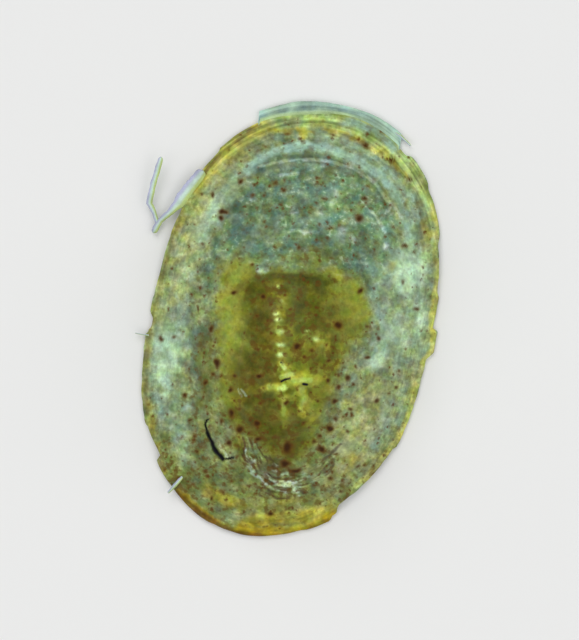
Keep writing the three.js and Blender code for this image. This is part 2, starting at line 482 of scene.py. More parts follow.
BLOTS["zone_olive_brown"] = (
    (0.9, 246, 372, 26, 22, 0, 0.8), (0.7, 268, 330, 16, 40, 0, 0.8), (0.5, 262, 424, 30, 26, 0, 0.8),
    (0.7, 340, 330, 22, 30, 0, 0.8), (0.8, 325, 385, 18, 18, 0, 0.8), (0.7, 238, 296, 14, 14, 0, 0.8),
)
BLOTS["zone_olive_light"] = (
    (0.9, 236, 272, 17, 18), (0.9, 231, 324, 17, 56, 0, 0.5), (1, 353, 305, 20, 30),
    (0.65, 320, 405, 13, 34, 20), (0.5, 290, 420, 7, 9), (0.5, 340, 351, 7, 9), (0.5, 228, 400, 7, 24),
)
STROKES["zone_olive_light"] = ((0.7, [(264, 272), (290, 269.5), (322, 269.5), (346, 276)], 9, 0.6),)
print("blots and strokes of the olive middle:", count_marks("zone_olive"))

# %% Field and flanks
FIELD_CORNERS = [
    (232, 208), (247, 184), (272, 168), (300, 161), (334, 165), (362, 178), (385, 200), (398, 226),
    (400, 250), (388, 268), (372, 292), (350, 276), (262, 274), (240, 257), (219, 266), (208, 300),
    (202, 268), (214, 238),
]
PALE_ARC = [
    (248, 170), (263, 158.5), (281, 150), (306, 146.5), (325, 150), (342, 155), (360, 163), (378, 175),
    (391, 189), (399, 202),
]
OUTER_ARC = [(318, 139), (340, 142), (360, 150), (382, 166), (398, 182), (410, 200), (418, 222)]
SLATE_ARC = [(258, 171), (266, 166), (284, 159), (300, 158.5), (318, 161), (340, 166)]
LIP_BAND = [(344, 121.5), (360, 125.5), (375, 132), (386, 141), (394, 150)]
SIDE_BAND = [(404, 160), (414, 172), (421, 186), (426, 200)]
# The pale blot at column 374, row 361 is a painted highlight.
BLOTS["zone_pale"] = (
    (1, 166, 351, 15, 32), (0.4, 236, 173, 8, 7), (0.4, 173, 248, 6, 8), (0.4, 333, 197, 7, 6),
    (0.35, 298, 223, 8, 6), (0.5, 401, 363, 8, 8), (0.5, 374, 276, 7, 7), (0.4, 429, 280, 5, 10),
    (0.4, 168, 271, 6, 8), (0.45, 401, 414, 5, 10, 15), (0.4, 188, 406, 6, 8), (0.5, 163, 402, 8, 18),
    (0.8, 217, 206, 6, 8), (0.7, 317, 131, 8, 6), (0.5, 260, 231, 9, 7), (0.6, 318, 220, 8, 6),
    (0.55, 338, 240, 8, 6), (0.35, 368, 266, 8, 6), (0.3, 377, 255, 7, 7), (0.45, 309, 200, 9, 6),
    (0.25, 313, 170, 9, 5), (0.3, 187, 459, 8, 8), (0.8, 421, 352, 7, 9), (1, 348, 446, 9, 8),
    (1, 406, 272, 19, 26), (0.75, 418, 316, 9, 34), (0.85, 392, 334, 17, 20), (1, 374, 361, 8, 9),
    (0.35, 236, 516, 18, 6, 12), (0.4, 316, 469, 7, 6), (0.5, 427, 297, 5, 10), (0.4, 414, 229, 6, 12),
)
STROKES["zone_pale"] = (
    (0.6, [(236, 186), (222, 202), (208, 226), (196, 238)], 18),
    (0.3, [(186, 262), (180, 300), (176, 325)], 20), (0.3, [(182, 395), (180, 430), (186, 455)], 18),
    (0.2, [(402, 378), (388, 415), (368, 448)], 13), (0.35, [(335, 153), (352, 159), (366, 166)], 6, 0.6),
)
BLOTS["zone_rear"] = (
    (0.8, 200, 414, 17, 40, -8), (0.8, 232, 460, 34, 26, 30), (0.4, 204, 318, 8, 40),
    (0.9, 239, 440, 9, 12),
)
STROKES["zone_rear"] = ((0.5, [(205, 338), (202, 364), (209, 386), (203, 406)], 21),)
BLOTS["zone_blue"] = (
    (0.3, 186, 335, 8, 24), (0.5, 380, 305, 10, 24), (0.6, 378, 348, 10, 9), (0.4, 163, 402, 7, 18),
    (0.4, 309, 154, 7, 4),
)
STROKES["zone_blue"] = (
    (1, PALE_ARC, 10, 0.6), (0.5, PALE_ARC[5:8], 13, 0.8), (0.6, OUTER_ARC, 7),
    (0.75, [(399, 202), (404, 218), (408, 236)], 9, 0.8), (0.9, LIP_BAND, 9, 0.6),
    (0.35, SIDE_BAND, 7, 0.6), (0.4, [(388, 398), (384, 420), (376, 445)], 12),
    (0.35, [(166, 385), (170, 412), (177, 435)], 15),
)
BLOTS["zone_tan"] = (
    (1, 362, 420, 17, 40, 22), (0.8, 350, 468, 26, 14, -30), (0.3, 398, 384, 14, 20),
    (0.3, 219, 440, 11, 28, -20), (0.6, 332, 497, 12, 6, -20), (0.8, 346, 446, 12, 10),
    (0.7, 336, 428, 8, 12), (1, 316, 469, 9, 6, -30), (0.6, 250, 160, 14, 10, -40),
    (0.7, 238, 517, 14, 6, 12), (0.6, 252, 483, 7, 6), (0.5, 348, 416, 6, 7), (0.5, 212, 509, 7, 5, 35),
    (0.2, 190, 285, 16, 34),
)
STROKES["zone_tan"] = (
    (0.8, [(316, 472), (326, 462), (336, 454)], 5),
    (0.65, [(232, 152), (206, 190), (186, 232), (172, 275), (160, 312)], 22),
)
BLOTS["zone_slate"] = (
    (0.5, 351, 182, 8, 6, 0, 0.8), (0.5, 326, 213, 7, 6, 0, 0.8), (0.8, 278, 225, 9, 8, 0, 0.8),
    (0.6, 270, 242, 8, 6, 0, 0.8), (0.35, 369, 435, 7, 8, 0, 0.8), (0.55, 390, 395, 11, 12, 0, 0.8),
    (0.8, 242, 223, 18, 26, 0, 0.8), (0.4, 330, 250, 40, 14, 0, 0.8),
)
STROKES["zone_slate"] = (
    (1, SLATE_ARC, 11, 0.6), (0.4, LIP_BAND[:4], 7, 0.6),
    (0.95, [(200, 336), (202, 362), (208, 386), (205, 402)], 20),
    (0.6, [(366, 177), (382, 196), (394, 220)], 7), (0.5, [(276, 139), (296, 138)], 5),
    (0.5, [(390, 192), (396, 202), (403, 218)], 8),
)
print("blots and strokes so far:", count_marks("zone"))

# %% Front band and rim
REAR_RIM = [
    (176, 492), (196, 510), (220, 526), (240, 533), (259, 535), (282, 534), (306, 530), (330, 518),
]
RIGHT_RIM = [
    (412, 163), (421, 178), (428, 195), (433, 211), (436, 228), (435.5, 247), (436, 277), (435, 303),
    (431.5, 327), (433.5, 338), (431.5, 350), (422.5, 364), (416, 388), (408.5, 414), (397.5, 439),
    (379, 463), (357, 486),
]
FRONT_LEFT_RIM = [(196, 184), (207, 170), (222, 153), (240, 138), (260, 124)]
LEFT_RIM = [
    (183, 212), (172, 240), (163, 275), (155, 305), (150, 330), (146, 365), (146, 400), (154, 440),
    (164, 470),
]
BLOTS["zone_amber"] = (
    (0.35, 348, 405, 8, 9, 0, 0.8), (0.25, 275, 501, 48, 7), (0.6, 353, 458, 8, 5), (0.5, 392, 267, 4, 5),
    (0.5, 425, 235, 5, 12), (0.4, 414, 387, 4, 14),
)
STROKES["zone_amber"] = (
    (0.6, FRONT_LEFT_RIM, 22), (0.35, LEFT_RIM, 8), (0.4, LEFT_RIM[4:7], 4), (0.9, REAR_RIM[:4], 10),
    (1, REAR_RIM[3:], 17), (0.6, [(207, 489), (222, 496), (241, 504)], 13),
    (0.8, [(246, 523), (262, 519), (300, 517), (330, 510)], 13), (0.3, RIGHT_RIM[2:11], 6),
    (0.65, [(262, 129), (276, 131)], 5.1), (0.65, [(280, 131), (292, 131)], 5.1),
    (0.65, [(303, 131), (304, 140)], 5.1), (0.65, [(298, 130), (312, 131)], 4.25),
    (0.65, [(322, 129), (336, 131), (347, 134)], 5.1), (0.65, [(352, 137), (361, 141)], 5.95),
    (0.65, [(370, 148), (377, 152)], 4.25), (0.65, [(386, 158), (396, 166), (410, 178)], 3.4),
)
BLOTS["zone_rust"] = ((0.5, 330, 513, 4, 5, 0, 0.5), (0.35, 199, 432, 5, 9, 20, 0.8))
STROKES["zone_rust"] = (
    (0.8, FRONT_LEFT_RIM, 4, 0.4), (1, [(column, row + 2) for column, row in REAR_RIM[:5]], 10, 0.6),
    (0.6, [(column, row + 1) for column, row in REAR_RIM], 4, 0.4), (0.4, LEFT_RIM, 3, 0.4),
    (0.35, LEFT_RIM[4:7], 5, 0.4), (0.4, [(255, 532), (272, 532), (290, 531)], 7),
)
BLOTS["zone_lime"] = ((0.3, 229, 150, 10, 6, -40), (0.35, 243, 515, 8, 5))
STROKES["zone_lime"] = (
    (0.25, RIGHT_RIM[:7], 6, 0.4), (0.75, RIGHT_RIM[6:12], 6, 0.4), (0.4, RIGHT_RIM[11:14], 6, 0.4),
    (0.75, RIGHT_RIM[13:], 6, 0.4), (1, [(371, 148), (379, 152), (386, 155)], 9),
    (0.45, [(262, 514), (300, 513), (332, 505)], 11), (0.4, [(285, 524), (305, 521), (317, 517)], 9),
)
print("blots and strokes so far:", count_marks("zone"))

# %% Colour zones
# A pair is where something fades in or out: rows in pixels, sines of the bearing, or ages.
FIELD_SOFT = 7
OLIVE_SOFT = 8
OLIVE_SOFTER_BEHIND = 6
OLIVE_FADE = (350, 420)
OLIVE_RAGGED = 1.8
REAR_FADE = (375, 470)
REAR_GAP = (372, 425, 26, 45, 22, 0.5)
REAR_GAP_SHARE = 0.75
FRONT_FADE = (0.55, 0.95)
YELLOW_STARTS = (0.93, 0.955)
YELLOW_ENDS = (1.01, 1.02)


def colour_zones(sheet, age):
    """A mask from 0 to 1 for each named zone.

    The field and the olive middle are areas inside corners. The rear grows towards the back except
    where the shell is pale, and the yellow band lies between two ages at the front.
    """
    zones = laid_all(sheet, "zone")
    olive_soft = OLIVE_SOFT + OLIVE_SOFTER_BEHIND * fade(sheet.row, *OLIVE_FADE)
    olive = strongest(zones["zone_olive"], sheet.zone(OLIVE_CORNERS, olive_soft, OLIVE_RAGGED))
    zones["zone_olive"] = olive
    for tone in ("light", "dark", "brown"):
        zones["zone_olive_" + tone] = olive * zones["zone_olive_" + tone]
    not_rear = strongest(zones["zone_pale"], sheet.blot(*REAR_GAP))
    behind = fade(sheet.ragged_row, *REAR_FADE) * (1 - REAR_GAP_SHARE * not_rear)
    zones["zone_rear"] = strongest(zones["zone_rear"], behind)
    zones["zone_field"] = sheet.zone(FIELD_CORNERS, FIELD_SOFT)
    front = fade(np.sin(bearing), *FRONT_FADE)
    front_band = front * fade(age, *YELLOW_STARTS) * (1 - fade(age, *YELLOW_ENDS))
    zones["zone_yellow"] = front_band * (1 - 0.9 * sheet.stroke(LIP_BAND, 9))
    return zones


zones = colour_zones(outer_sheet, outer_age)
print("zone cover:", {name: round(float(mask.mean()), 3) for name, mask in zones.items()})

# %% [markdown]
# ## Spots, flecks and gleams
# Reddish-brown specks of dirt lie all over the shell. The larger ones are listed here by place and radii in
# pixels, region by region, and a pattern in the material scatters the small ones. Pale flecks, thin growth
# arcs and the bars at the apex are strokes; the bars are painted highlights, and so are the gleam dashes
# along the crest. The few nearly black chips beside the bars are strokes too, and so are the light and dark
# folds of the wrinkled U, which the wave of its relief breaks up: over the folds' own pale and purple-brown
# colour they are painted highlight where the relief is high and painted shade where it is low. The crack's
# groove is painted near black as painted shade, and its raised edge pale as a painted highlight.

# %% Specks of dirt
DIRT_FRONT = (
    (365, 145, 4.2, 3.6), (391, 161, 4.4, 3.4), (410, 180, 4.5, 2.2), (287.5, 133.5, 3.4, 1.8),
    (334, 135, 3.2, 2.4), (303, 143, 3, 2.6), (265, 147, 2.6, 2.2), (311, 150, 2.2, 1.8),
    (223.5, 212.5, 4.6, 4.2), (226, 213, 3.6, 3), (221.5, 219, 3.2, 3.8), (359, 219, 4.6, 4.8),
    (241, 182, 3, 3.8), (254, 186, 3, 2.8), (252, 197, 2.6, 2.4), (264, 197, 2.6, 2.6),
    (275, 184, 2.4, 2.2), (284, 191, 3.2, 2.8), (284, 182, 2, 1.8), (316, 180, 2.6, 2.4),
    (321, 186, 2, 1.8), (324, 199, 3.4, 2.2), (281, 207, 2.6, 2), (316, 205, 2, 2), (265, 223, 2.6, 2.2),
    (267, 229, 2.4, 2), (318, 224, 2.4, 2.2), (330, 229, 5, 1.6), (339, 227, 2.2, 2), (326, 239, 3, 2.6),
    (275, 248, 2.6, 2.4), (298, 248, 2.6, 2.4), (364, 199, 2.8, 3.6), (366, 188, 2.2, 2),
    (202, 195, 2.4, 2.2), (214, 195, 2.8, 3.6), (203, 245, 2.2, 1.8),
)
DIRT_MIDDLE = (
    (337, 325, 5, 5.4), (297, 345, 4.8, 4.4), (359, 291, 3, 4.6), (235, 293, 3.8, 2.8),
    (264, 297, 3.6, 3.2), (252, 265, 2.8, 2.2), (260, 375, 4.4, 2.8), (218, 363, 3.4, 5.4),
    (212, 329, 3.2, 3), (200, 309, 1.6, 3.8), (231, 389, 3, 3.4), (213, 373, 2.8, 2.6),
    (235, 375, 2.6, 3), (327, 379, 3, 3), (366, 326, 2.4, 2.2), (312, 349, 2.8, 2.4),
    (305, 356, 2.6, 2.4), (328, 360, 2.8, 2.2), (346, 377, 3, 3), (366, 357, 3.4, 2.6),
    (286, 401, 3.4, 2.4), (257, 315, 2.4, 2.2), (175, 337, 2, 2.8), (161, 338, 2.6, 3.4),
    (206, 382, 3, 3.4), (186, 395, 3.2, 3.4), (416, 309, 3.6, 2.6), (402, 283, 2.4, 2.2),
    (399, 371, 2.2, 2.2), (397, 388, 2.8, 2.4), (378, 337, 2.6, 3), (389, 394, 2.4, 2.2),
    (376, 400.5, 3.2, 2.8), (404, 247, 4, 2.4), (414, 253, 2.6, 2),
)
DIRT_REAR = (
    (287.5, 446, 6.8, 8), (284.5, 462.5, 7, 5.2), (295.5, 469, 7.5, 3.2), (259.5, 438, 5, 3),
    (241, 428, 5.2, 5), (233, 411.5, 3.8, 5.2), (258, 422, 4, 3.4), (195.5, 436, 2.6, 2.2),
    (191, 419, 3.6, 2.4), (329, 426.5, 4, 5), (313, 440, 2.6, 2.6), (320.5, 447, 4, 3.6),
    (212, 498, 2.4, 4), (269.5, 513.5, 4.6, 3.4), (289, 508, 2, 2.2), (330, 478, 3.2, 2.8),
    (365, 465, 2.6, 2.2), (224, 490, 2.2, 2.2), (303, 421, 2.4, 2), (229, 440.5, 4, 4),
    (346, 429.5, 2.2, 2.4), (344, 475, 2.2, 2), (206, 470, 3, 2.4), (165, 468, 2.4, 2.2),
    (335.5, 452, 3.4, 1.8), (335, 417, 2.6, 2.8), (349, 407, 2.6, 2.4), (333, 398.5, 3.4, 3),
    (337.5, 386, 2.6, 2.6), (337.7, 374.6, 2, 2.4), (316, 400, 2.6, 2.4), (351.5, 383, 2.6, 2.2),
    (354.6, 366, 2, 2.6), (341.5, 417, 1.8, 1.6), (318.5, 434, 2.6, 3), (337, 451, 2.2, 1.8),
    (331, 462, 2.2, 2.4), (350, 411.5, 1.8, 2.4), (341.5, 491, 3, 2.4), (358.5, 466, 2.6, 2),
    (221.5, 420, 2.2, 3), (240.5, 406.5, 2.2, 2), (197, 450, 3, 3),
)
print("specks placed:", len(DIRT_FRONT + DIRT_MIDDLE + DIRT_REAR))

# %% Flecks, bars, chips and folds
GROWTH_ARC = [
    (258, 168), (280, 163), (299, 160.5), (326, 162), (346, 167), (359, 173), (374, 184), (394, 208),
    (401, 219),
]
FLECKS = (
    (335, 194, 2.4, 2.6), (331, 204, 3.4, 4), (319, 216, 4, 2.8), (343, 233, 6, 3.4),
    (385, 247, 3.4, 3.4), (294, 214, 5, 1.8), (300, 233, 15, 2.2), (352, 240, 4, 2), (250, 201, 1.3, 1.3),
    (252, 205, 1.3, 1.3), (262, 271, 5, 3), (188, 407, 4, 3.4), (277, 160, 1.6, 1.4), (322, 167, 1.6, 2),
    (285, 224, 1.2, 4),
)
# The gleam dashes are painted highlights: glints along the crest, and two to its right.
GLEAM_DASHES = (
    (278, 287, 2.6, 2.2), (281, 302, 2.4, 2), (276.5, 314, 4.4, 2.2), (278.5, 320, 4.6, 2),
    (280.4, 331.5, 4.4, 3.4), (281, 344, 4.2, 2.8), (280.5, 354.5, 4.2, 2.3), (314.5, 339.5, 3.6, 3.4),
    (308, 331, 4, 1.2),
)
BLOTS["mark_fleck"] = ((0.6, 250.5, 462, 2.6, 4.5, 0, 0.6),)
STROKES["mark_fleck"] = (
    (0.45, GROWTH_ARC, 2.6, 0.4), (0.75, [(280, 177), (290, 176), (297, 174.5)], 3.4, 0.6),
    (0.45, [(372, 183), (391, 206), (379, 221)], 2.4, 0.6), (0.5, [(369, 211), (386, 234)], 3, 0.6),
    (0.4, [(239, 389), (243, 395)], 2, 0.8), (0.4, [(243, 389), (247, 394)], 2, 0.8),
)
# The glow is painted highlight: bars across the apex, lines below them, a faint line along the crest and a
# few glints to its right.
BLOTS["mark_glow"] = ((0.55, 312, 340, 9, 7, 0, 0.8),)
STROKES["mark_glow"] = (
    (0.4, [(264, 387), (274, 385)], 7, 0.5), (0.75, [(270, 386), (284, 383), (294, 376)], 7.5, 0.4),
    (0.85, [(292, 378.5), (302, 378), (314, 379.5)], 13, 0.25),
    (0.3, [(283.5, 397), (284, 408), (286, 424)], 7, 0.3),
    (0.7, [(302.5, 386), (302, 400), (301, 412)], 8, 0.6), (0.3, [(309, 402), (310, 416)], 7, 0.3),
    (0.25, CREST[1:], 10, 0.4), (0.3, [(327, 335), (326, 356)], 6, 0.4),
)
# The gleams are painted highlights, the brightest parts of the same bars and lines.
BLOTS["mark_gleam"] = ((1, 282.2, 385, 3, 3), (0.6, 301.5, 399, 3, 4, 0, 0.8))
STROKES["mark_gleam"] = (
    (0.35, [(270, 386), (276, 385), (281, 384)], 5, 0.4), (0.75, [(281.5, 362), (285.5, 367)], 4, 0.3),
    (0.45, [(294, 379), (302, 378), (310, 379)], 5, 0.2), (0.5, [(281, 375.5), (293, 372.5)], 4.4, 0.2),
    (0.4, [(302, 388), (301.5, 408)], 4, 0.5), (0.2, [(283.5, 397), (284, 412)], 4, 0.2),
)
STROKES["mark_chip"] = (
    (1, [(281.5, 380), (285, 378), (290, 377)], 2, 0), (1, [(303, 382.5), (306.5, 383)], 2.6, 0),
    (1, [(281, 361.5), (281.6, 361.5)], 1.8, 0),
)
# Dark marks of the folds, which also carry painted shade in the wrinkles' hollows.
BLOTS["mark_fold"] = ((0.6, 262, 467, 6, 6), (0.5, 270, 462, 6, 5))
STROKES["mark_fold"] = (
    (0.75, [(322, 457), (329, 451.5), (335, 447), (340, 442)], 3.4, 0.8),
    (0.6, [(324, 466), (331, 459)], 3, 0.8),
)

# Points and width of each fold.
FOLD_LIGHT = (
    ([(251, 459), (251, 465)], 5), ([(253, 471), (256, 475)], 4),
    ([(266, 474), (275, 479.5), (284, 482)], 4.5), ([(284, 482), (293, 480.5)], 3.4),
    ([(264, 473.5), (272, 478)], 4), ([(274, 485), (285, 488.5)], 3.4), ([(294, 487.5), (297, 492)], 4.5),
    ([(301, 476.5), (305.5, 473.5)], 5), ([(246.5, 446), (249, 455)], 2), ([(272, 463), (279, 471)], 2.4),
    ([(262, 479), (270, 485)], 2.8), ([(268, 478), (280, 484)], 4),
)
FOLD_DARK = (
    ([(244, 437), (246, 444), (247.5, 454.5)], 2.4),
    ([(250, 438), (254, 449), (257, 460), (263, 471), (270, 478)], 2.6),
    ([(267, 456), (273, 467), (284, 473), (292, 473.5)], 6), ([(254, 467), (261, 478), (268, 483)], 2),
    ([(258, 463), (264, 472)], 5), ([(262, 492), (276, 496), (290, 494)], 5),
    ([(300, 486), (304, 490)], 5), ([(261.5, 484), (270, 490), (279, 491)], 3),
    ([(274, 484), (281, 487), (289, 487)], 2), ([(291, 470), (300, 468.5)], 4),
    ([(319, 472), (326.5, 465), (332, 459)], 1.8), ([(300, 488), (309, 481)], 2),
    ([(259, 444), (262, 453), (267, 462)], 2),
)
print("blots and strokes of the marks:", count_marks("mark"))

# %% Marks
DIRT_RAGGED = 0.6
FLECK_RAGGED = 0.8
FOLD_RAGGED = 1.2
# Blots where the folds' painted highlight is fainter, where it is stronger, and where their painted shade
# is fainter.
FAINT_HIGHLIGHT_PLACE = (261, 467, 7, 7, 0, 0.5)
BRIGHT_FOLDS = (274, 479, 28, 16, 25, 0.6)
FAINT_SHADE_PLACE = (309, 473, 15, 9, -35, 0.6)


def marks(sheet):
    """A mask from 0 to 1 for dirt, pale flecks, yellow glow, gleams, black chips and dark folds. The glow
    and the gleams are painted highlights, and the chips also hold the crack's groove, painted near black as
    shade.

    Folds show where the wave of the wrinkles is high, as light, or low, as dark: painted highlight on the
    crests and painted shade in the hollows, over the folds' own colour. The flecks also hold the crack's
    raised edge as a painted highlight.
    """
    band, wave = wrinkles(sheet)
    crack_line, crack_edge = crack(sheet)
    fold_light, fold_dark = (
        strongest(*(sheet.stroke(points, width, FOLD_RAGGED) for points, width in folds))
        for folds in (FOLD_LIGHT, FOLD_DARK)
    )
    # Painted highlight on the wrinkles' high crests, and painted shade in their low hollows.
    highlight_band = band * (0.12 + 0.6 * sheet.blot(*BRIGHT_FOLDS)) * fade(wave, 0.2, 1.0)
    light_folds_and_highlight = strongest(0.75 * fold_light * fade(wave, -0.9, 0.5), highlight_band)
    light_folds_and_highlight = light_folds_and_highlight * (1 - 0.85 * sheet.blot(*FAINT_HIGHLIGHT_PLACE))
    shade_band = 0.85 * band * fade(-wave, 0, 0.7) * (1 - 0.75 * sheet.blot(*FAINT_SHADE_PLACE))
    dark_folds_and_shade = 0.85 * fold_dark * fade(-wave, -1.0, 0.1)
    flecks = 0.85 * sheet.spots(FLECKS, FLECK_RAGGED)
    found = laid_all(sheet, "mark")
    found["mark_dirt"] = sheet.spots(DIRT_FRONT + DIRT_MIDDLE + DIRT_REAR, DIRT_RAGGED)
    # The crack's raised edge is painted pale, as a highlight.
    found["mark_fleck"] = strongest(found["mark_fleck"], flecks, 0.55 * crack_edge, light_folds_and_highlight)
    found["mark_gleam"] = strongest(found["mark_gleam"], sheet.spots(GLEAM_DASHES))
    # The crack's groove is painted near black, as shade.
    found["mark_chip"] = strongest(found["mark_chip"], crack_line)
    found["mark_fold"] = strongest(found["mark_fold"], dark_folds_and_shade, shade_band)
    return found


found = marks(outer_sheet)
print("mark cover:", {name: round(float(mask.mean()), 4) for name, mask in found.items()})

# %% [markdown]
# ## One closed mesh
# The outer wall, a rounded edge and the inner wall are rings of points, one inside the next, so the whole
# shell is a single tube drawn in to a point at either end. Its faces come from index arithmetic on the
# grid.

# %% Mesh from rings
def tube_faces(rings, columns):
    """Corner indexes of the squares between neighbouring rings, and of the triangles at both ends."""
    ring = np.arange(rings - 1)[:, None] * columns + 1
    column = np.arange(columns)
    after = (column + 1) % columns
    near, far = ring + column, ring + after
    squares = np.stack([near, near + columns, far + columns, far], axis=-1)
    last = rings * columns + 1
    first_fan = np.stack([0 * column, 1 + column, 1 + after], axis=-1)
    last_fan = np.stack([last - columns + column, 0 * column + last, last - columns + after], axis=-1)
    return squares.reshape(-1, 4), np.concatenate([first_fan, last_fan])


def make_piece(name, points, squares, triangles, masks):
    """Mesh object from points in metres, with smooth faces and one attribute for each mask."""
    mesh = bpy.data.meshes.new(name)
    mesh.vertices.add(len(points))
    mesh.vertices.foreach_set("co", np.ascontiguousarray(points, np.float32).ravel())
    corners = np.concatenate([squares.ravel(), triangles.ravel()]).astype(np.int32)
    starts = np.concatenate([np.arange(len(squares)) * 4, squares.size + np.arange(len(triangles)) * 3])
    mesh.loops.add(len(corners))
    mesh.loops.foreach_set("vertex_index", corners)
    mesh.polygons.add(len(starts))
    mesh.polygons.foreach_set("loop_start", starts.astype(np.int32))
    mesh.update(calc_edges=True)
    mesh.shade_smooth()
    for mask_name, values in masks.items():
        kind, field = ("FLOAT", "value") if values.ndim == 1 else ("FLOAT_VECTOR", "vector")
        attribute = mesh.attributes.new(mask_name, kind, "POINT")
        attribute.data.foreach_set(field, values.astype(np.float32).ravel())
    piece = bpy.data.objects.new(name, mesh)
    bpy.context.scene.collection.objects.link(piece)
    return piece


print("faces of a tube of 3 rings of 4 points:", [len(faces) for faces in tube_faces(3, 4)])

# %% Rings of the shell
BEAD = 0.004

whole_x, whole_y = outline(round_the_rim)
stretch = edge_age(round_the_rim, 0)
box_low, box_high = (np.array(corner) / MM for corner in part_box("shell"))
shift_x = box_high[0] - (APEX[0] + (whole_x - APEX[0]) * stretch).max()
shift_y = box_high[1] - (APEX[1] + (whole_y - APEX[1]) * stretch).max()

edge_length = np.hypot(outer_x[-1], outer_y[-1])
bead_x = outer_x[-1] * (1 + BEAD / edge_length)
bead_y = outer_y[-1] * (1 + BEAD / edge_length)
ring_x = np.concatenate([outer_x, [bead_x], [outer_x[-1]], inner_x[::-1]])
ring_y = np.concatenate([outer_y, [bead_y], [outer_y[-1]], inner_y[::-1]])
ring_z = np.concatenate([outer_z, [(outer_z[-1] + inner_z[-1]) / 2], [inner_z[-1]], inner_z[::-1]])
ring_age = np.concatenate([outer_age, outer_age[-1:], outer_age[-1:], inner_age[::-1]])
print("rings:", len(ring_age))


# %% Shell piece
def with_poles(rings, first, last):
    """The rings' values as one list between the values at the two end points."""
    return np.concatenate([[first], rings.ravel(), [last]])


x = with_poles(ring_x, APEX[0], APEX[0]) + shift_x
y = with_poles(ring_y, APEX[1], APEX[1]) + shift_y
z = with_poles(ring_z, HEIGHT, HEIGHT - WALL) + box_low[2]
shell_sheet = Sheet(ring_x, ring_y)
shell_masks = {**colour_zones(shell_sheet, ring_age), **marks(shell_sheet)}
shell_masks = {name: with_poles(mask, mask[0, 0], mask[-1, 0]) for name, mask in shell_masks.items()}
wide_bearing = bearing * np.ones_like(ring_age)
shell_masks["growth"] = np.stack(
    [
        with_poles(np.cos(wide_bearing), 0, 0),
        with_poles(np.sin(wide_bearing), 0, 0),
        with_poles(ring_age, 0, 0),
    ],
    axis=-1,
)
row_share = np.linspace(0, 1, OUTER_ROWS + 1)[1:]
lip_share = np.clip((row_share - LIP_SHARE) / (1 - LIP_SHARE), 0, 1)
lip_share = np.concatenate([lip_share, np.ones(len(ring_age) - OUTER_ROWS)])[:, None]
shell_masks["lip_share"] = with_poles(lip_share * np.ones_like(ring_age), 0, 1)
squares, triangles = tube_faces(len(ring_x), COLUMNS)
shell = make_piece("limpet_shell", np.stack([x, y, z], axis=-1) * MM, squares, triangles, shell_masks)
print("shell triangles:", 2 * len(squares) + len(triangles))

# %% [markdown]
# ## The clear lip's faces
# At the front the newest growth is clear and bluish. It is the same piece of shell, so it stays in the same
# mesh and its faces take a second material. They are the faces outside the row that follows the lip's
# inside.

# %% Lip faces
LIP_FROM = 70.5
LIP_TO = 112.1

face_row = np.arange(len(ring_age) - 1)[:, None]
face_bearing = np.degrees(bearing + np.pi / COLUMNS)
outside_lip_row = (face_row >= round(LIP_SHARE * OUTER_ROWS) - 1) & (face_row <= OUTER_ROWS + 1)
is_lip = outside_lip_row & (face_bearing > LIP_FROM) & (face_bearing < LIP_TO)
face_slots = np.concatenate([is_lip.ravel(), np.zeros(len(triangles), bool)]).astype(np.int32)
print("faces of the clear lip:", int(face_slots.sum()))

# %% [markdown]
# ## Shreds of the torn lip
# Where the lip has torn, shreds of it still hang on the rim: a strip folded in a V at the front left, a
# sliver at the lip's right end, one at the rear left and a hair at the left. Each is a flat section with
# round edges, carried along straight pieces between a few points, and its width changes on the way.

# %% Ribbons along a path
SHRED_THICKNESS = 0.026
SHRED_STEPS = 72
SECTION_POINTS = 16
END_SHARPNESS = 36
END_BLUNTNESS = 0.05
UNEVEN_SHARE = 0.16

# x, y and height of the underside in mm, and width there.
SHREDS = {
    "torn_strip": [
        (-0.962, 1.05, 0.088, 0.084), (-1.009, 0.955, 0.085, 0.098), (-1.056, 0.86, 0.078, 0.106),
        (-1.1, 0.762, 0.066, 0.098), (-1.15, 0.668, 0.054, 0.056), (-1.221, 0.573, 0.04, 0.048),
        (-1.254, 0.466, 0.03, 0.054),
    ],
    "torn_strip_tip": [
        (-1.322, 1.086, 0.112, 0.046), (-1.339, 0.86, 0.08, 0.05), (-1.337, 0.698, 0.052, 0.05),
        (-1.285, 0.634, 0.042, 0.036), (-1.236, 0.55, 0.032, 0.036),
    ],
    "lip_sliver": [
        (0.44, 1.716, 0.005, 0.036), (0.545, 1.678, 0.01, 0.026), (0.648, 1.615, 0.022, 0.014),
    ],
    "rear_sliver": [
        (-0.575, -1.399, 0.125, 0.024), (-0.626, -1.49, 0.085, 0.034), (-0.677, -1.581, 0.05, 0.02),
    ],
    "left_hair": [
        (-1.07, -0.353, 0.008, 0.018), (-1.148, -0.362, 0.02, 0.012), (-1.222, -0.364, 0.034, 0.008),
    ],
}


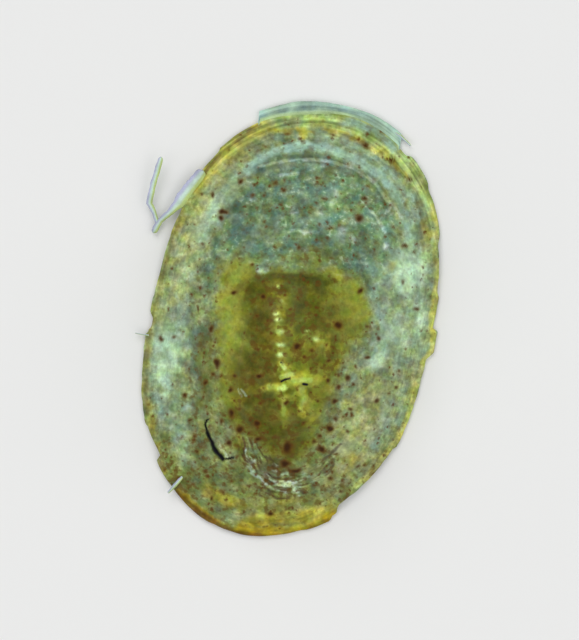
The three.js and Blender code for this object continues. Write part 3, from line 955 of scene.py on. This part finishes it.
def ribbon(stations, seed):
    """Flat oval section carried along the stations: straight pieces between them, with uneven edges.

    The section at angle t is half the width times cos t to the power 0.5 across, and half the
    thickness times sin t upwards. Both shrink to a rounded point at either end.
    """
    stations = np.array(stations)
    steps = np.linspace(0, len(stations) - 1, SHRED_STEPS)
    numbers = np.arange(len(stations))
    middle = np.stack([np.interp(steps, numbers, column) for column in stations.T], axis=-1)
    along = np.gradient(middle[:, :2], axis=0)
    along /= np.linalg.norm(along, axis=1)[:, None]
    ends = np.minimum(1, np.sqrt(np.linspace(0, 1, SHRED_STEPS) * END_SHARPNESS + END_BLUNTNESS))
    ends = np.minimum(ends, ends[::-1])
    width = middle[:, 3] * ends
    angle = np.linspace(0, 2 * np.pi, SECTION_POINTS, endpoint=False)
    across = np.sign(np.cos(angle)) * np.abs(np.cos(angle)) ** 0.5
    uneven = 1 + UNEVEN_SHARE * smooth_noise(steps[:, None] * 5, np.sign(across) * 3 + 7.5, seed)
    side = across * uneven * width[:, None] / 2
    x = middle[:, :1] + along[:, 1:] * side
    y = middle[:, 1:2] - along[:, :1] * side
    z = middle[:, 2:3] + SHRED_THICKNESS / 2 * (1 + np.sin(angle) * ends[:, None])
    return x, y, z, across * np.ones_like(x), steps[:, None] * np.ones_like(x)


print("shreds to make:", list(SHREDS))

# %% Shred pieces
# The growth attribute of a shred runs along it, and its age changes only a little across it.
SHRED_SEED = 31
SHRED_GROWTH_ALONG = 0.3
SHRED_GROWTH_ACROSS = 0.02

shreds = []
for seed, (name, stations) in enumerate(SHREDS.items()):
    x, y, z, across, steps = ribbon(stations, SHRED_SEED + seed)
    sections = np.stack([x, y, z], axis=-1)
    ends = [np.mean(sections[end], axis=0) for end in (0, -1)]
    points = np.concatenate([ends[:1], sections.reshape(-1, 3), ends[1:]])
    points = (points + (shift_x, shift_y, box_low[2])) * MM
    squares, triangles = tube_faces(SHRED_STEPS, SECTION_POINTS)
    growth = np.stack(
        [
            with_poles(steps * SHRED_GROWTH_ALONG, 0, 0),
            with_poles(0 * steps, 0, 0),
            with_poles(1 + SHRED_GROWTH_ACROSS * across, 1, 1),
        ],
        axis=-1,
    )
    lip_share = with_poles(0.5 + 0.5 * across, 0.5, 0.5)
    piece = make_piece(name, points, squares, triangles, {"growth": growth, "lip_share": lip_share})
    shreds.append(piece)
print("shreds:", [piece.name for piece in shreds])

# %% [markdown]
# ## Shader helpers
# A material is a tree of nodes. These helpers add a node, feed its sockets with values or links, and hand
# back the output, so that the materials below read like sums.

# %% Node helpers
PRESSED = 0.4


def feed(tree, made, feeds):
    """Each named or numbered socket of a node is given its value or its link."""
    for socket, value in feeds.items():
        if isinstance(value, bpy.types.NodeSocket):
            tree.links.new(value, made.inputs[socket])
        else:
            made.inputs[socket].default_value = value


def put(tree, kind, feeds=None, **settings):
    """A new shader node with its settings made and its sockets fed."""
    made = tree.nodes.new("ShaderNode" + kind)
    for name, value in settings.items():
        setattr(made, name, value)
    feed(tree, made, feeds or {})
    return made


def maths(tree, operation, *values):
    """One arithmetic step on one, two or three values."""
    return put(tree, "Math", dict(enumerate(values)), operation=operation).outputs[0]


def product(tree, first, *others):
    """All the values multiplied together."""
    for other in others:
        first = maths(tree, "MULTIPLY", first, other)
    return first


def highest(tree, first, *others):
    """The largest of the values."""
    for other in others:
        first = maths(tree, "MAXIMUM", first, other)
    return first


def scaled(tree, value, rise, start):
    """The value times rise, plus start."""
    return maths(tree, "MULTIPLY_ADD", value, rise, start)


def blend(tree, share, under, over, mode="MIX"):
    """Colour under where the share is 0, and over where it is 1."""
    return put(tree, "Mix", {0: share, 6: under, 7: over}, data_type="RGBA", blend_type=mode).outputs[2]


def remap(tree, value, low, high, to_low=0.0, to_high=1.0):
    """Smooth step of a value from low..high to to_low..to_high."""
    feeds = {"Value": value, "From Min": low, "From Max": high, "To Min": to_low, "To Max": to_high}
    return put(tree, "MapRange", feeds, interpolation_type="SMOOTHSTEP").outputs[0]


def grey(tree, value):
    """A number as a grey, to multiply a colour by."""
    return put(tree, "CombineColor", {0: value, 1: value, 2: value}).outputs[0]


def mask(tree, name):
    """A mask of the piece's own, by its attribute's name."""
    return put(tree, "Attribute", attribute_name=name).outputs["Fac"]


def noise(tree, vector, scale, detail=2.0):
    """Noise from 0 to 1 at so many features per unit of the vector."""
    return put(tree, "TexNoise", {"Vector": vector, "Scale": scale, "Detail": detail}).outputs["Fac"]


def millimetres(tree):
    """Place on the piece in millimetres, heights pressed together so that no pattern streaks downhill."""
    place = put(tree, "TexCoord").outputs["Object"]
    per_mm = (1 / MM, 1 / MM, PRESSED / MM)
    return put(tree, "VectorMath", {0: place, 1: per_mm}, operation="MULTIPLY").outputs[0]


print("share of the height that the patterns see:", PRESSED)


# %% Group and material helpers
def new_group(name, inputs, outputs):
    """An empty node group with number sockets of those names: (tree, input node, output node)."""
    tree = bpy.data.node_groups.new(name, "ShaderNodeTree")
    for socket, value in inputs.items():
        made = tree.interface.new_socket(socket, in_out="INPUT", socket_type="NodeSocketFloat")
        made.default_value = value
    for socket in outputs:
        tree.interface.new_socket(socket, in_out="OUTPUT", socket_type="NodeSocketFloat")
    return tree, tree.nodes.new("NodeGroupInput"), tree.nodes.new("NodeGroupOutput")


def use_group(tree, group, feeds=None):
    """The outputs of a node group placed in a tree with its sockets fed."""
    made = tree.nodes.new("ShaderNodeGroup")
    made.node_tree = group
    feed(tree, made, feeds or {})
    return made.outputs


def new_material(name):
    """A material whose tree holds only its output and a Principled shader: (material, tree, shader)."""
    material = bpy.data.materials.new(name)
    material.use_nodes = True
    tree = material.node_tree
    return material, tree, tree.nodes["Principled BSDF"]


print("materials before the shell's own:", len(bpy.data.materials))

# %% [markdown]
# ## Shared patterns
# Three patterns are used by more than one finish, or more than once in one, so each is a node group. Grain
# is the fine crystalline speckle of the wall. Growth lines follow the rim, because they read the age
# instead of the place. Scattered dots are small specks, each with a size and a chance of its own.

# %% Grain group
# Features per mm, detail and offset in mm of each grain.
GRAINS = {
    "Fine": (36, 1.5, 0),
    "Patch": (10, 3, 5),
    "Cool": (8, 4, 9),
    "Warm": (9, 4, 17),
    "Red": (13, 2, 23),
    "Blue": (12, 2, 31),
    "Cloud": (4.5, 2, 43),
    "Smudge": (17, 2, 57),
}
NOISE_RANGE = (0.3, 0.7)

grain_group, given, result = new_group("shell_grain", {"Fineness": 1.0}, GRAINS)
place = millimetres(grain_group)
for socket, (per_mm, detail, offset) in GRAINS.items():
    moved = put(grain_group, "VectorMath", {0: place, 1: (offset, offset, 0)}, operation="ADD").outputs[0]
    scale = product(grain_group, given.outputs["Fineness"], per_mm)
    speckle = noise(grain_group, moved, scale, detail)
    grain_group.links.new(remap(grain_group, speckle, *NOISE_RANGE), result.inputs[socket])
print("group:", grain_group.name)

# %% Growth line group
ROUND_THE_SHELL = 4.0
FINE_LINES = 2.7

line_group, given, result = new_group("growth_lines", {"Lines": 60.0}, ("Line", "Fine"))
growth = put(line_group, "Attribute", attribute_name="growth").outputs["Vector"]
for socket, share in (("Line", 1.0), ("Fine", FINE_LINES)):
    lines = product(line_group, given.outputs["Lines"], share)
    stretch = put(line_group, "CombineXYZ", {0: ROUND_THE_SHELL, 1: ROUND_THE_SHELL, 2: lines}).outputs[0]
    ring_place = put(line_group, "VectorMath", {0: growth, 1: stretch}, operation="MULTIPLY").outputs[0]
    streak = noise(line_group, ring_place, 1.0)
    line_group.links.new(remap(line_group, streak, *NOISE_RANGE), result.inputs[socket])
print("group:", line_group.name)

# %% Scattered dot group
DOT_SOCKETS = {"Per mm": 12.0, "Chance": 0.3, "Radius": 0.25}
WOBBLE = 0.03
WOBBLE_SCALE = 45.0
SMALLEST_DOT = 0.4

dot_group, given, result = new_group("scattered_dots", DOT_SOCKETS, ("Mask",))
place = millimetres(dot_group)
wobble = put(dot_group, "TexNoise", {"Vector": place, "Scale": WOBBLE_SCALE, "Detail": 1.0})
wobbled = {0: wobble.outputs["Color"], 1: (WOBBLE, WOBBLE, WOBBLE), 2: place}
place = put(dot_group, "VectorMath", wobbled, operation="MULTIPLY_ADD").outputs[0]
cells = put(dot_group, "TexVoronoi", {"Vector": place, "Scale": given.outputs["Per mm"]})
chances = put(dot_group, "SeparateColor", {0: cells.outputs["Color"]})
present = maths(dot_group, "LESS_THAN", chances.outputs[0], given.outputs["Chance"])
radius = scaled(dot_group, chances.outputs[1], 1 - SMALLEST_DOT, SMALLEST_DOT)
radius = product(dot_group, radius, given.outputs["Radius"])
dot = remap(dot_group, cells.outputs["Distance"], 0.0, radius, 1.0, 0.0)
dot_group.links.new(product(dot_group, dot, present), result.inputs["Mask"])
print("group:", dot_group.name)

# %% [markdown]
# ## The shell's finish
# The ground colour is a greyish green, and the zones are laid over it one by one. Then come cool and warm
# mottling, the marks with painted highlights and shade, and tones that multiply the colour: growth lines,
# patches, a drift of hue and the fine grain with its glitter. Dirt lies on top, as smudges, small dots and
# the listed specks, and the black chips with the crack's painted shade are last. A real shell is thin and a
# little glossy, so the finish has some light scatter below the surface, and dirt is duller than clean
# shell.

# %% Shell colours
GROUND = (0.25, 0.32, 0.15, 1)
SLATE = (0.095, 0.147, 0.106, 1)
STRAW = (0.38, 0.46, 0.16, 1)

# Mask, colour and strength, from the lowest layer up.
ZONE_COLOURS = (
    ("zone_rear", (0.142, 0.174, 0.034, 1), 0.9),
    ("zone_field", (0.117, 0.24, 0.145, 1), 0.92),
    ("zone_pale", (0.51, 0.75, 0.5, 1), 0.86),
    ("zone_tan", (0.5, 0.54, 0.2, 1), 0.9),
    ("zone_blue", (0.36, 0.56, 0.43, 1), 0.92),
    ("zone_slate", (0.072, 0.125, 0.092, 1), 0.8),
    ("zone_yellow", (0.46, 0.61, 0.175, 1), 0.87),
    ("zone_amber", (0.45, 0.365, 0.005, 1), 0.97),
    ("zone_rust", (0.13, 0.055, 0.002, 1), 0.9),
    ("zone_lime", (0.72, 0.72, 0.13, 1), 0.92),
    ("zone_olive", (0.19, 0.205, 0.006, 1), 0.97),
    ("zone_olive_light", (0.34, 0.405, 0.05, 1), 0.8),
    ("zone_olive_dark", (0.058, 0.056, 0.0005, 1), 0.85),
    ("zone_olive_brown", (0.15, 0.085, 0.002, 1), 0.4),
)
# The glow and the gleams are painted highlights; the flecks hold painted highlights and the folds painted
# shade.
MARKS_WITH_PAINTED_LIGHT = (
    ("mark_glow", (0.48, 0.51, 0.06, 1), 0.8),
    ("mark_fleck", (0.6, 0.77, 0.56, 1), 0.78),
    ("mark_fold", (0.06, 0.026, 0.016, 1), 0.9),
    ("mark_gleam", (0.5, 0.68, 0.16, 1), 0.85),
)
# Bright middle of the painted gleam highlights.
GLEAM_CORE = (0.64, 0.88, 0.28, 1)
GLITTER = (0.6, 0.74, 0.52, 1)
DIRT = (0.14, 0.055, 0.004, 1)
DIRT_CORE = (0.034, 0.0105, 0.0003, 1)
SMALL_DIRT = (0.11, 0.036, 0.003, 1)
SMUDGE = (0.115, 0.056, 0.005, 1)
# Near black of the chips and of the crack's painted shade.
CHIP_AND_CRACK_SHADE = (0.006, 0.005, 0.01, 1)
print("zones to colour:", len(ZONE_COLOURS))

# %% Shell material, zones and mottling
COOL_SHARE = 0.44
WARM_SHARE = 0.4
EVENNESS = 0.85
REAR_EVENNESS = 0.35

shell_material, tree, shader = new_material("limpet_shell")
grain = use_group(tree, grain_group)
lines = use_group(tree, line_group, {"Lines": 60.0})
zone = {name: mask(tree, name) for name, zone_colour, strength in ZONE_COLOURS}
flanks = [product(tree, zone[name], EVENNESS) for name in ("zone_pale", "zone_blue", "zone_slate")]
even_rear = product(tree, zone["zone_rear"], REAR_EVENNESS)
even = highest(tree, zone["zone_olive"], zone["zone_amber"], even_rear, *flanks)
mottled = scaled(tree, even, -EVENNESS, 1.0)
colour = GROUND
for name, zone_colour, strength in ZONE_COLOURS:
    colour = blend(tree, product(tree, zone[name], strength), colour, zone_colour)
colour = blend(tree, product(tree, grain["Cool"], COOL_SHARE, mottled), colour, SLATE)
colour = blend(tree, product(tree, grain["Warm"], WARM_SHARE, mottled), colour, STRAW)
print("nodes with the zones:", len(tree.nodes))

# %% Shell material, light marks and tones
# Rise of each tone over its pattern, and the tone where the pattern is 0.
LINE_TONE = (1.3, 0.4)
PATCH_TONE = (0.62, 0.7)
CLOUD_TONE = (0.4, 0.8)
RED_TONE = (0.26, 0.87)
BLUE_TONE = (0.6, 0.7)
FINE_TONE = (0.8, 0.61)
GLEAM_POWER = 4.0

for name, mark_colour, strength in MARKS_WITH_PAINTED_LIGHT:
    colour = blend(tree, product(tree, mask(tree, name), strength), colour, mark_colour)
# Painted highlight: the bright middles of the gleams.
core = product(tree, maths(tree, "POWER", mask(tree, "mark_gleam"), GLEAM_POWER), 0.9)
colour = blend(tree, core, colour, GLEAM_CORE)
growth = put(tree, "Attribute", attribute_name="growth").outputs["Vector"]
age = put(tree, "SeparateXYZ", {0: growth}).outputs[2]
near_rim = remap(tree, age, 0.72, 0.92, 0.04, 0.2)
line_share = scaled(tree, zone["zone_yellow"], 0.5, near_rim)
line_tone = scaled(tree, lines["Line"], *LINE_TONE)
colour = blend(tree, line_share, colour, grey(tree, line_tone), "MULTIPLY")
patch_tone = scaled(tree, grain["Patch"], *PATCH_TONE)
cloud_tone = scaled(tree, grain["Cloud"], *CLOUD_TONE)
patch_share = scaled(tree, highest(tree, zone["zone_olive_light"], zone["zone_blue"]), -0.55, 1.0)
colour = blend(tree, patch_share, colour, grey(tree, product(tree, patch_tone, cloud_tone)), "MULTIPLY")
red_tone = scaled(tree, grain["Red"], *RED_TONE)
blue_tone = scaled(tree, grain["Blue"], *BLUE_TONE)
hue = put(tree, "CombineColor", {0: red_tone, 1: 1.0, 2: blue_tone}).outputs[0]
hue_share = scaled(tree, highest(tree, zone["zone_pale"], zone["zone_blue"]), -0.6, 1.0)
colour = blend(tree, hue_share, colour, hue, "MULTIPLY")
fine_share = product(tree, scaled(tree, mottled, 0.3, 0.2), scaled(tree, zone["zone_yellow"], -0.6, 1.0))
fine_tone = scaled(tree, grain["Fine"], *FINE_TONE)
colour = blend(tree, fine_share, colour, grey(tree, fine_tone), "MULTIPLY")
glitter = product(tree, remap(tree, grain["Fine"], 0.8, 1.0), remap(tree, grain["Patch"], 0.45, 0.9))
glitter_share = scaled(tree, zone["zone_field"], 0.26, 0.14)
colour = blend(tree, product(tree, glitter, glitter_share, mottled), colour, GLITTER)
print("nodes with the tones:", len(tree.nodes))

# %% Shell material, dirt
SMALL_PER_MM = 19.0
TINY_PER_MM = 30.0
DOT_RADIUS = 0.56
TINY_SHARE = 0.7
CORE_POWER = 3.0

soiled = highest(tree, zone["zone_rear"], zone["zone_olive"])
clean = highest(tree, zone["zone_pale"], product(tree, zone["zone_tan"], 0.7), zone["zone_amber"])
# Dirt is also kept off the glow's painted highlights.
clean = highest(tree, clean, zone["zone_olive_light"], mask(tree, "mark_glow"))
smudge = product(tree, remap(tree, grain["Smudge"], 0.62, 1.0), scaled(tree, soiled, 0.4, 0.3))
smudge = product(tree, smudge, scaled(tree, clean, -0.75, 1.0))
colour = blend(tree, smudge, colour, SMUDGE)
lower_half = highest(tree, zone["zone_rear"], product(tree, zone["zone_olive"], 0.4))
small_chance = product(tree, scaled(tree, lower_half, 0.5, 0.24), scaled(tree, clean, -0.8, 1.0))
tiny_chance = product(tree, small_chance, TINY_SHARE)
small_feeds = {"Per mm": SMALL_PER_MM, "Chance": small_chance, "Radius": DOT_RADIUS}
tiny_feeds = {"Per mm": TINY_PER_MM, "Chance": tiny_chance, "Radius": DOT_RADIUS}
small_dots = use_group(tree, dot_group, small_feeds)["Mask"]
tiny_dots = product(tree, use_group(tree, dot_group, tiny_feeds)["Mask"], TINY_SHARE)
dots = product(tree, highest(tree, small_dots, tiny_dots), 0.95)
colour = blend(tree, dots, colour, SMALL_DIRT)
dirt = mask(tree, "mark_dirt")
colour = blend(tree, product(tree, dirt, 0.95), colour, DIRT)
colour = blend(tree, product(tree, maths(tree, "POWER", dirt, CORE_POWER), 0.92), colour, DIRT_CORE)
colour = blend(tree, mask(tree, "mark_chip"), colour, CHIP_AND_CRACK_SHADE)
tree.links.new(colour, shader.inputs["Base Color"])
print("nodes with the dirt:", len(tree.nodes))

# %% Shell material, gloss and fine relief
BUMP_HEIGHT = 0.004
SCATTER_DEPTH = 0.03

dull = highest(tree, dirt, dots)
roughness = scaled(tree, dull, 0.2, scaled(tree, grain["Fine"], 0.16, 0.32))
tree.links.new(roughness, shader.inputs["Roughness"])
relief = scaled(tree, lines["Fine"], 0.4, grain["Fine"])
bump = put(tree, "Bump", {"Strength": 0.22, "Distance": BUMP_HEIGHT * MM, "Height": relief})
tree.links.new(bump.outputs[0], shader.inputs["Normal"])
shader.inputs["Specular IOR Level"].default_value = 0.1
shader.inputs["Subsurface Weight"].default_value = 0.12
shader.inputs["Subsurface Radius"].default_value = (1.0, 1.0, 0.6)
shader.inputs["Subsurface Scale"].default_value = SCATTER_DEPTH * MM
print("shell material nodes:", len(tree.nodes))

# %% [markdown]
# ## The clear lip's finish
# The lip and its shreds are clear and slightly blue. The lip has a darker line along the middle and a paler
# edge, and a shred goes from yellowish inside to violet outside. They share the grain and the growth lines
# with the rest of the shell, and let some of the floor through.

# %% Clear lip material
LIP_DARK = (0.19, 0.33, 0.33, 1)
LIP_LIGHT = (0.42, 0.66, 0.58, 1)
LIP_INSIDE = (0.4, 0.56, 0.19, 1)
LIP_BLUE = (0.085, 0.16, 0.185, 1)
LIP_OUTSIDE = (0.42, 0.68, 0.54, 1)
LIP_WARM = (0.48, 0.62, 0.32, 1)

lip_material, tree, shader = new_material("clear_lip")
grain = use_group(tree, grain_group, {"Fineness": 0.8})
lines = use_group(tree, line_group, {"Lines": 95.0})
share = mask(tree, "lip_share")
growth = put(tree, "Attribute", attribute_name="growth").outputs["Vector"]
across, along = put(tree, "SeparateXYZ", {0: growth}).outputs[:2]
colour = blend(tree, lines["Line"], LIP_DARK, LIP_LIGHT)
inside_colour = blend(tree, remap(tree, across, 0.0, 0.2), LIP_INSIDE, LIP_OUTSIDE)
colour = blend(tree, remap(tree, share, 0.05, 0.55, 0.85, 0.0), colour, inside_colour)
band = product(tree, remap(tree, share, 0.2, 0.4), remap(tree, share, 0.6, 0.8, 1.0, 0.0))
band = product(tree, band, remap(tree, across, -0.08, 0.1, 0.95, 0.6))
band = product(tree, band, scaled(tree, grain["Patch"], 0.75, 0.25))
colour = blend(tree, band, colour, LIP_BLUE)
colour = blend(tree, remap(tree, share, 0.72, 0.95, 0.0, 0.7), colour, LIP_OUTSIDE)
colour = blend(tree, product(tree, grain["Warm"], 0.4), colour, LIP_WARM)
lip_tone = scaled(tree, grain["Cool"], 0.5, 0.72)
colour = blend(tree, 1.0, colour, grey(tree, lip_tone), "MULTIPLY")
print("nodes with the lip's colours:", len(tree.nodes))

# %% Clear lip material, shreds and gloss
SHRED_INSIDE = (0.46, 0.58, 0.2, 1)
SHRED_MIDDLE = (0.55, 0.72, 0.62, 1)
SHRED_OUTSIDE = (0.44, 0.46, 0.62, 1)

shred_colour = blend(tree, remap(tree, share, 0.2, 0.5), SHRED_INSIDE, SHRED_MIDDLE)
shred_colour = blend(tree, remap(tree, share, 0.5, 0.85), shred_colour, SHRED_OUTSIDE)
shred_tone = scaled(tree, grain["Patch"], 0.3, 0.85)
shred_colour = blend(tree, 1.0, shred_colour, grey(tree, shred_tone), "MULTIPLY")
on_shreds = remap(tree, along, 0.1, 0.5, 1.0, 0.0)
colour = blend(tree, on_shreds, colour, shred_colour)
tree.links.new(colour, shader.inputs["Base Color"])
tree.links.new(scaled(tree, lines["Line"], 0.12, 0.86), shader.inputs["Alpha"])
tree.links.new(scaled(tree, grain["Fine"], 0.15, 0.2), shader.inputs["Roughness"])
bump = put(tree, "Bump", {"Strength": 0.4, "Distance": BUMP_HEIGHT * MM, "Height": lines["Fine"]})
tree.links.new(bump.outputs[0], shader.inputs["Normal"])
print("lip material nodes:", len(tree.nodes))

# %% Dress the pieces
shell.data.materials.append(shell_material)
shell.data.materials.append(lip_material)
shell.data.polygons.foreach_set("material_index", face_slots)
for piece in shreds:
    piece.data.materials.append(lip_material)
for piece in (shell, *shreds):
    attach(piece, "root")
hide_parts("shell")
print("pieces:", [piece.name for piece in (shell, *shreds)])

# %% [markdown]
# ## Floor, light and camera
# A shell this small is photographed through a microscope, which sees it almost without perspective, so the
# camera is far away with a long lens. The light is a pale sky all round and four wide lamps, the strongest
# from the front left.

# %% Floor
FLOOR_HALF = 0.6
FLOOR_GAP = 0.002
FLOOR_COLOUR = (0.8, 0.8, 0.79, 1)

floor_z = box_low[2] * MM - FLOOR_GAP * MM
floor_mesh = bpy.data.meshes.new("floor")
corner_signs = ((-1, -1), (1, -1), (1, 1), (-1, 1))
floor_corners = [(side * FLOOR_HALF, end * FLOOR_HALF, floor_z) for side, end in corner_signs]
floor_mesh.from_pydata(floor_corners, [], [(0, 1, 2, 3)])
floor = bpy.data.objects.new("floor", floor_mesh)
bpy.context.scene.collection.objects.link(floor)
floor_material, tree, shader = new_material("pale_floor")
shader.inputs["Base Color"].default_value = FLOOR_COLOUR
shader.inputs["Roughness"].default_value = 0.9
floor_mesh.materials.append(floor_material)
print("floor height in mm:", floor_z / MM)

# %% Light
SKY_COLOUR = (0.97, 0.985, 1, 1)
SKY_STRENGTH = 0.35

# Name, bearing and height in degrees, strength, and width in degrees.
LAMPS = (
    ("window", 125, 50, 1.15, 45),
    ("right_fill", 15, 45, 0.65, 50),
    ("left_fill", 225, 45, 0.65, 50),
    ("rear_fill", 305, 45, 0.5, 50),
)

world = bpy.data.worlds.new("soft_sky")
world.use_nodes = True
sky = world.node_tree.nodes["Background"].inputs
sky["Color"].default_value = SKY_COLOUR
sky["Strength"].default_value = SKY_STRENGTH
bpy.context.scene.world = world


def wide_lamp(name, azimuth, elevation, strength, spread):
    """A distant lamp, spread degrees wide, that shines down from a bearing and a height in degrees."""
    light = bpy.data.lights.new(name, "SUN")
    light.energy = strength
    light.angle = math.radians(spread)
    lamp = bpy.data.objects.new(name, light)
    lamp.rotation_euler = (math.radians(90 - elevation), 0, math.radians(azimuth + 90))
    bpy.context.scene.collection.objects.link(lamp)


for lamp in LAMPS:
    wide_lamp(*lamp)
print("lamps:", [item.name for item in bpy.data.lights])

# %% Camera
LENS = 300
SENSOR = 36

camera_data = bpy.data.cameras.new("camera")
camera_data.lens = LENS
camera_data.sensor_width = SENSOR
camera_data.clip_start = 1 * MM
camera_data.clip_end = 10
camera = bpy.data.objects.new("camera", camera_data)
middle_x, middle_y = from_photo(PHOTO_WIDTH / 2, PHOTO_HEIGHT / 2)
camera_distance = PHOTO_HEIGHT * MM_PER_PIXEL * LENS / SENSOR
camera.location = ((middle_x + shift_x) * MM, (middle_y + shift_y) * MM, (camera_distance + EDGE) * MM)
camera.rotation_euler = (0, 0, LEAN)
bpy.context.scene.collection.objects.link(camera)
bpy.context.scene.camera = camera
bpy.context.scene.view_settings.view_transform = "Standard"
print("camera height in mm:", camera_distance)
